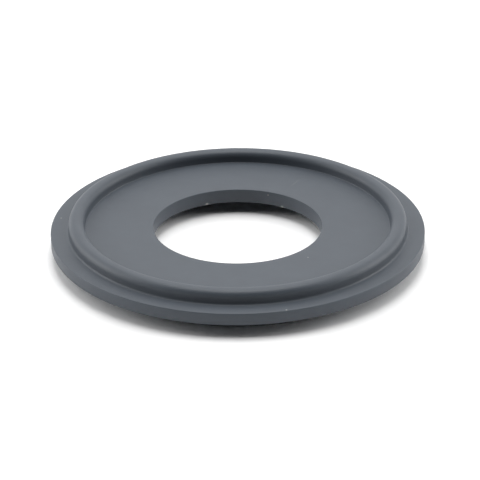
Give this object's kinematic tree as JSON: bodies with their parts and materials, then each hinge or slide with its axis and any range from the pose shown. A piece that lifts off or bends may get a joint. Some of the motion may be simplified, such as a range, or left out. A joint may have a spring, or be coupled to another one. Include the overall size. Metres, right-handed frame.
{
  "type": "sanitary clamp gasket",
  "caption": "Round one-piece elastomer seal for clamped tube ferrules: flat web, full bore, raised round bead on both faces, thin rim.",
  "frame": {"origin": "centre of the bore, half way through the ring's thickness", "axes": "+Z along the bore axis; the ring is the same above and below, and the same all round, so X and Y are free"},
  "size_m": [0.0506, 0.0506, 0.0052],
  "materials": {
    "elastomer": "matte slate-grey moulded elastomer"
  },
  "bodies": {
    "root": {"gasket": "elastomer"}
  },
  "joints": []
}
